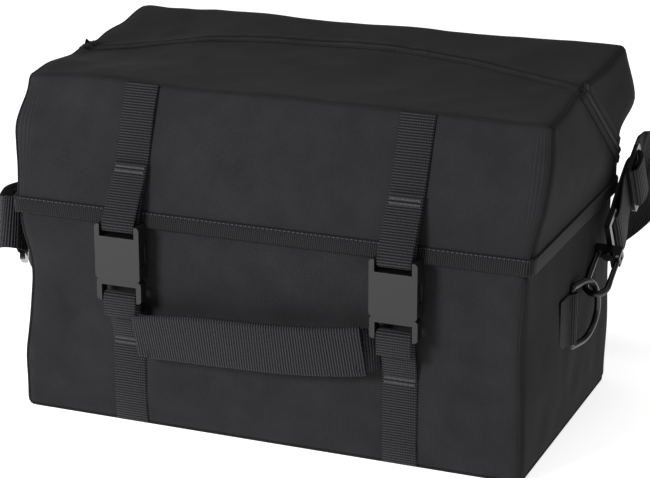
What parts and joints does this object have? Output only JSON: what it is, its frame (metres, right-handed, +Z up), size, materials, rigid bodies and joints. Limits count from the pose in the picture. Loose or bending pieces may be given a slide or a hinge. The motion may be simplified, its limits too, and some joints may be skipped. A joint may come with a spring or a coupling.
{
  "type": "pannier bag",
  "caption": "Box-shaped fabric pannier bag with a deep hinged hood, buckle straps, a front carry handle, side rings with a shoulder strap, and rack hooks on the back.",
  "frame": {"origin": "underside of the base, at its centre", "axes": "+X across the bag to the right as seen from the front, -Y towards the front panel and its buckles, +Z up"},
  "size_m": [0.446, 0.3119, 0.255],
  "materials": {
    "shell_fabric": "woven polyester, matt black",
    "piping": "folded woven binding, black",
    "binding": "grosgrain ribbon, black",
    "zip_tape": "woven tape, black",
    "zip_coil": "nylon coil, black",
    "zip_metal": "black lacquered zinc",
    "webbing": "ribbed polyester webbing, black",
    "buckle_acetal": "moulded acetal, black",
    "hardware": "black plated steel wire and zinc",
    "rack_plastic": "glass-filled nylon, dark grey",
    "steel": "zinc plated steel",
    "board": "polyethylene sheet, black"
  },
  "bodies": {
    "bag": {"anchor_disc": "rack_plastic", "anchor_pin": "steel", "back_board": "board", "back_panel": "shell_fabric", "base_board": "board", "base_panel": "shell_fabric", "buckle_plug_left": "buckle_acetal", "buckle_plug_right": "buckle_acetal", "corner_piping": "piping", "front_panel": "shell_fabric", "gusset_left": "shell_fabric", "gusset_right": "shell_fabric", "handle_ends": "webbing", "hook_rivets": "steel", "latch_pins": "steel", "lower_strap_left": "webbing", "lower_strap_right": "webbing", "rack_hook_left": "rack_plastic", "rack_hook_right": "rack_plastic", "rack_rail": "rack_plastic", "rail_screws": "steel", "rail_washers": "steel", "ring_tabs": "webbing", "shoulder_strap": "webbing", "strap_slider": "hardware", "swivel_eye_left": "hardware", "swivel_eye_right": "hardware"},
    "hood": {"buckle_socket_left": "buckle_acetal", "buckle_socket_right": "buckle_acetal", "hem_binding": "binding", "hood_back": "shell_fabric", "hood_front": "shell_fabric", "hood_rear_corners": "shell_fabric", "hood_side_left": "shell_fabric", "hood_side_right": "shell_fabric", "hood_top_front": "shell_fabric", "hood_top_rear": "shell_fabric", "upper_strap_left": "webbing", "upper_strap_right": "webbing", "zip_coil": "zip_coil", "zip_tape": "zip_tape"},
    "zip_slider": {"zip_slider": "zip_metal"},
    "zip_pull": {"zip_pull": "zip_metal"},
    "handle": {"handle_grip": "webbing"},
    "anchor": {"anchor_finger": "rack_plastic"},
    "ring_left": {"d_ring_left": "hardware"},
    "hook_left": {"snap_hook_left": "hardware", "gate_pin_left": "hardware"},
    "gate_left": {"hook_gate_left": "hardware"},
    "latch_left": {"hook_latch_left": "rack_plastic"},
    "prong_left_outer": {"buckle_prong_left_outer": "buckle_acetal"},
    "prong_left_inner": {"buckle_prong_left_inner": "buckle_acetal"},
    "ring_right": {"d_ring_right": "hardware"},
    "hook_right": {"snap_hook_right": "hardware", "gate_pin_right": "hardware"},
    "gate_right": {"hook_gate_right": "hardware"},
    "latch_right": {"hook_latch_right": "rack_plastic"},
    "prong_right_outer": {"buckle_prong_right_outer": "buckle_acetal"},
    "prong_right_inner": {"buckle_prong_right_inner": "buckle_acetal"}
  },
  "joints": [
    {"name": "hood_hinge", "type": "hinge", "parent": "bag", "child": "hood", "pos_m": [0, 0.106, 0.163], "axis": [-1, 0, 0], "range_deg": [0, 95]},
    {"name": "zip_slide", "type": "slide", "parent": "hood", "child": "zip_slider", "axis": [0, -0.8224, 0.569], "range_m": [0, 0.1]},
    {"name": "zip_pull_swing", "type": "hinge", "parent": "zip_slider", "child": "zip_pull", "pos_m": [-0.1962, 0.09384, 0.1841], "axis": [0, 0.569, 0.8224], "range_deg": [0, 120]},
    {"name": "handle_lift", "type": "hinge", "parent": "bag", "child": "handle", "pos_m": [0, -0.105, 0.08], "axis": [1, 0, 0], "range_deg": [-25, 22], "stiffness_Nm_per_rad": 0.2},
    {"name": "anchor_turn", "type": "hinge", "parent": "bag", "child": "anchor", "pos_m": [0, 0.111, 0.058], "axis": [0, 1, 0], "range_deg": [-90, 90]},
    {"name": "ring_swing_left", "type": "hinge", "parent": "bag", "child": "ring_left", "pos_m": [-0.19115, -0.011, 0.088], "axis": [0, 0, 1], "range_deg": [0, 2]},
    {"name": "hook_swivel_left", "type": "hinge", "parent": "bag", "child": "hook_left", "pos_m": [-0.22242, -0.02341, 0.09445], "axis": [0.3302, -0.8004, 0.5003], "range_deg": [-15, 8]},
    {"name": "gate_left_press", "type": "hinge", "parent": "hook_left", "child": "gate_left", "pos_m": [-0.2043, -0.04637, 0.1107], "axis": [-0.1908, 0.4625, 0.8659], "range_deg": [0, 25], "stiffness_Nm_per_rad": 0.02},
    {"name": "latch_left_open", "type": "hinge", "parent": "bag", "child": "latch_left", "pos_m": [-0.08, 0.1116, 0.1032], "axis": [-1, 0, 0], "range_deg": [0, 70], "stiffness_Nm_per_rad": 0.05},
    {"name": "prong_left_outer_squeeze", "type": "hinge", "parent": "bag", "child": "prong_left_outer", "pos_m": [-0.11345, -0.1155, 0.11335], "axis": [0, 1, 0], "range_deg": [0, 12], "stiffness_Nm_per_rad": 0.1},
    {"name": "prong_left_inner_squeeze", "type": "hinge", "parent": "bag", "child": "prong_left_inner", "pos_m": [-0.08855, -0.1155, 0.11335], "axis": [0, -1, 0], "range_deg": [0, 12], "stiffness_Nm_per_rad": 0.1},
    {"name": "ring_swing_right", "type": "hinge", "parent": "bag", "child": "ring_right", "pos_m": [0.19115, -0.011, 0.088], "axis": [0, 0, 1], "range_deg": [-1, 2]},
    {"name": "hook_swivel_right", "type": "hinge", "parent": "bag", "child": "hook_right", "pos_m": [0.1994, 0.01631, 0.09738], "axis": [0.03, 0.8399, 0.5419], "range_deg": [-15, 10]},
    {"name": "gate_right_press", "type": "hinge", "parent": "hook_right", "child": "gate_right", "pos_m": [0.20838, 0.04341, 0.11486], "axis": [0, 0.5422, -0.8403], "range_deg": [0, 25], "stiffness_Nm_per_rad": 0.02},
    {"name": "latch_right_open", "type": "hinge", "parent": "bag", "child": "latch_right", "pos_m": [0.08, 0.1116, 0.1032], "axis": [-1, 0, 0], "range_deg": [0, 70], "stiffness_Nm_per_rad": 0.05},
    {"name": "prong_right_outer_squeeze", "type": "hinge", "parent": "bag", "child": "prong_right_outer", "pos_m": [0.11345, -0.1155, 0.11335], "axis": [0, -1, 0], "range_deg": [0, 12], "stiffness_Nm_per_rad": 0.1},
    {"name": "prong_right_inner_squeeze", "type": "hinge", "parent": "bag", "child": "prong_right_inner", "pos_m": [0.08855, -0.1155, 0.11335], "axis": [0, 1, 0], "range_deg": [0, 12], "stiffness_Nm_per_rad": 0.1}
  ]
}
